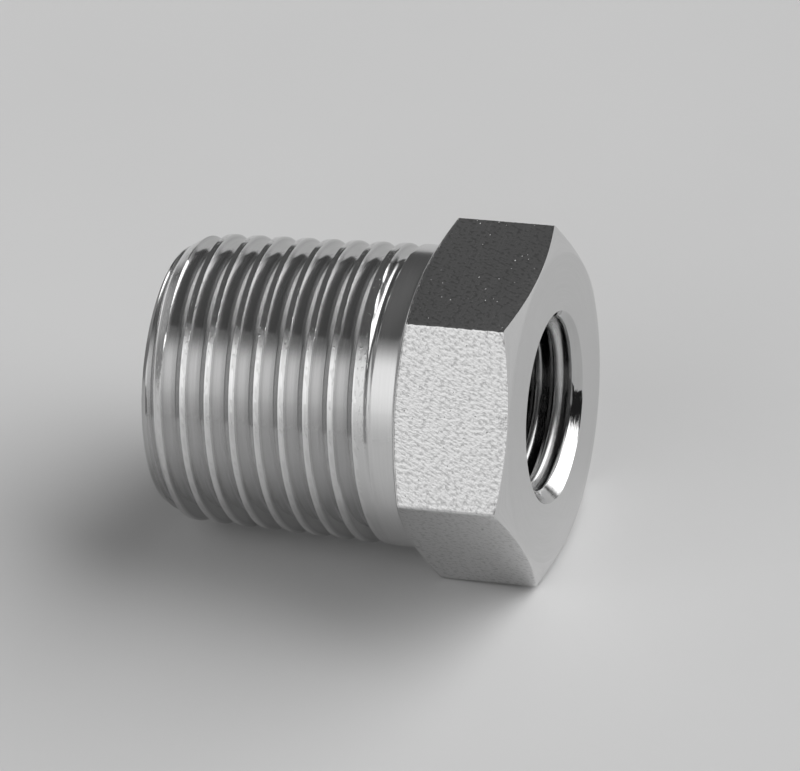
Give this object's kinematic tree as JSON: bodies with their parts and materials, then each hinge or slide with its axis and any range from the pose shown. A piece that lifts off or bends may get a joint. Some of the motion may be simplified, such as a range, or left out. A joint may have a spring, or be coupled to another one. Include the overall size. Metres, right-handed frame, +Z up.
{
  "type": "hex bushing",
  "caption": "Hexagon-headed reducing bushing in bare steel, with a tapered outer thread that runs out into a plain collar and a countersunk, threaded bore.",
  "frame": {"origin": "floor level under the middle of the bushing's box as it lies at rest", "axes": "+X towards the hexagon head and +Z up; the bushing's own axis lies in the XZ plane, tipped down towards the small end by the angle at which it comes to rest"},
  "size_m": [0.0282, 0.0254, 0.0224],
  "materials": {
    "steel": "bare machined steel with faint tool marks"
  },
  "bodies": {
    "root": {"hex_bushing": "steel"}
  },
  "joints": []
}
